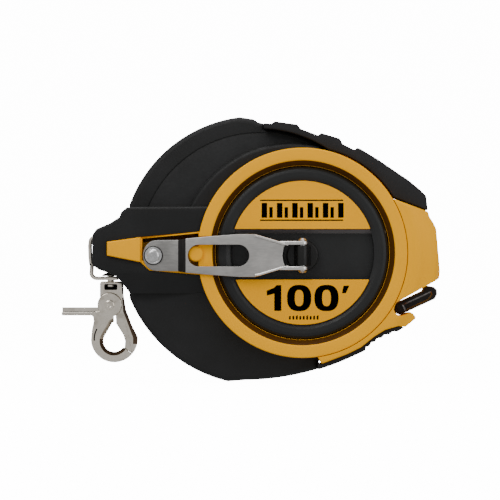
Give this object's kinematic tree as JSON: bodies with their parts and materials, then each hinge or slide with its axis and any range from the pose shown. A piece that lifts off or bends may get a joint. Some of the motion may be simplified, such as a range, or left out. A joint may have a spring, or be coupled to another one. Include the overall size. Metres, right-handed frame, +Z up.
{
  "type": "surveyor tape reel",
  "caption": "Closed-case long tape reel with a geared folding crank, a tape end hook in a side mouth and a trigger snap hook on a swivel bail.",
  "frame": {"origin": "where the crank's axis meets the flat rear face", "axes": "+X towards the tape mouth, +Z up as the reel is carried, +Y out of the rear face; the crank faces -Y"},
  "size_m": [0.2197, 0.0447, 0.1537],
  "materials": {
    "black_rubber": "matt moulded rubber skin",
    "black_plastic": "fine spark texture",
    "yellow_plastic": "satin",
    "label_print": "printed film",
    "grey_plastic": "as moulded",
    "white_plastic": "as moulded acetal",
    "arm_steel": "matt plated sheet",
    "bright_steel": "bright zinc",
    "nickel_plate": "tumbled nickel plate",
    "blade_steel": "lacquered steel tape",
    "dark_steel": "blackened steel"
  },
  "bodies": {
    "case": {"rear_shell": "black_rubber", "front_shell": "black_rubber", "nose_block": "black_plastic", "bezel": "yellow_plastic", "end_housing_rear": "yellow_plastic", "end_housing_front": "yellow_plastic", "mouth_guide": "dark_steel", "top_grip": "black_rubber", "keel_strip": "black_rubber", "case_screw_1": "bright_steel", "case_screw_2": "bright_steel", "case_screw_3": "bright_steel", "case_screw_4": "bright_steel", "case_screw_5": "bright_steel", "bezel_screw_1": "bright_steel", "bezel_screw_2": "bright_steel", "bezel_screw_3": "bright_steel", "drum_axle": "bright_steel", "axle_washer": "bright_steel", "axle_screw": "bright_steel", "bail_pin": "bright_steel"},
    "drum": {"drum_core": "grey_plastic", "drum_flange": "grey_plastic", "tape_pack": "blade_steel", "pinion": "white_plastic"},
    "crank": {"crank_disc": "black_plastic", "ring_gear": "white_plastic", "upper_label": "label_print", "lower_label": "label_print", "hinge_pin": "bright_steel"},
    "arm": {"crank_arm": "arm_steel", "knob_screw": "bright_steel"},
    "knob": {"knob": "black_plastic"},
    "tape": {"tape_blade": "blade_steel", "end_hook": "dark_steel", "hook_rivet_1": "bright_steel", "hook_rivet_2": "bright_steel"},
    "bail": {"bail_strap": "nickel_plate"},
    "snap": {"snap_frame": "nickel_plate", "swivel_post": "nickel_plate", "jaw_rivet": "nickel_plate", "jaw_spring": "dark_steel"},
    "jaw": {"snap_jaw": "nickel_plate"}
  },
  "joints": [
    {"name": "drum_spin", "type": "hinge", "parent": "case", "child": "drum", "pos_m": [-0.025, -0.01, 0], "axis": [0, 1, 0], "continuous": true},
    {"name": "crank_spin", "type": "hinge", "parent": "case", "child": "crank", "pos_m": [0, -0.03, 0], "axis": [0, 1, 0], "continuous": true},
    {"name": "crank_fold", "type": "hinge", "parent": "crank", "child": "arm", "pos_m": [0, -0.0413, -0.0016], "axis": [0, 0, 1], "range_deg": [0, 180]},
    {"name": "knob_spin", "type": "hinge", "parent": "arm", "child": "knob", "pos_m": [-0.0861, -0.0413, -0.0016], "axis": [0, 1, 0], "continuous": true},
    {"name": "tape_pull", "type": "slide", "parent": "case", "child": "tape", "axis": [0.9063, 0, 0.4226], "range_m": [0, 0.045]},
    {"name": "bail_swing", "type": "hinge", "parent": "case", "child": "bail", "pos_m": [-0.1166, -0.02, 0.0052], "axis": [0, 1, 0], "range_deg": [0, 90]},
    {"name": "swivel_turn", "type": "hinge", "parent": "bail", "child": "snap", "pos_m": [-0.1113, -0.02, -0.016], "axis": [0, 0, 1], "range_deg": [-110, 110]},
    {"name": "trigger_press", "type": "hinge", "parent": "snap", "child": "jaw", "pos_m": [-0.1119, -0.02, -0.0303], "axis": [0, 1, 0], "range_deg": [0, 20], "stiffness_Nm_per_rad": 0.03, "springref_deg": -28.65}
  ],
  "couplings": [
    {"joint": "crank_spin", "follows": "drum_spin", "ratio": 0.33333}
  ]
}
